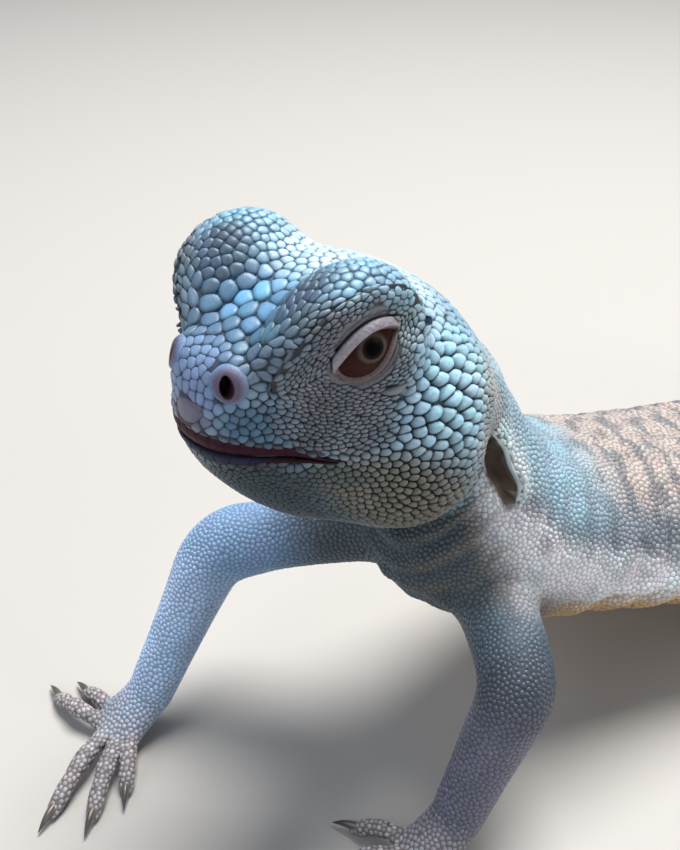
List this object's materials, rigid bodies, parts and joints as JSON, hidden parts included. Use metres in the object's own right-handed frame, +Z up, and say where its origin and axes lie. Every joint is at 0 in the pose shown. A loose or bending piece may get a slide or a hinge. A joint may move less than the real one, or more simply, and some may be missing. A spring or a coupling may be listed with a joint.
{
  "type": "uromastyx",
  "caption": "Life-size spiny-tailed lizard standing on its forelegs with the head raised, blue scaly head and skin, and a whorled, spined tail laid on the floor.",
  "frame": {"origin": "on the floor, at the middle of the bounding box's bottom face", "axes": "+Y from the head towards the tail, +X towards the animal's left, +Z up"},
  "size_m": [0.1336, 0.3696, 0.1071],
  "materials": {
    "head_skin": "pale blue pebbled scales with a low sheen",
    "trunk_skin": "blue-gray fine granular scales, matte, cream below",
    "tail_skin": "gray-tan whorls of keeled spines, matte",
    "limb_skin": "lavender-blue small scales in rows, tan fingers",
    "eye": "dark brown, wet gloss"
  },
  "bodies": {
    "root": {"head": "head_skin", "jaw": "head_skin", "eye_left": "eye", "eye_right": "eye", "neck": "trunk_skin", "torso": "trunk_skin", "tail_base": "tail_skin", "tail_middle": "tail_skin", "tail_tip": "tail_skin", "upper_arm_left": "limb_skin", "forearm_left": "limb_skin", "hand_left": "limb_skin", "upper_arm_right": "limb_skin", "forearm_right": "limb_skin", "hand_right": "limb_skin", "thigh_left": "limb_skin", "shank_left": "limb_skin", "foot_left": "limb_skin", "thigh_right": "limb_skin", "shank_right": "limb_skin", "foot_right": "limb_skin"}
  },
  "joints": []
}
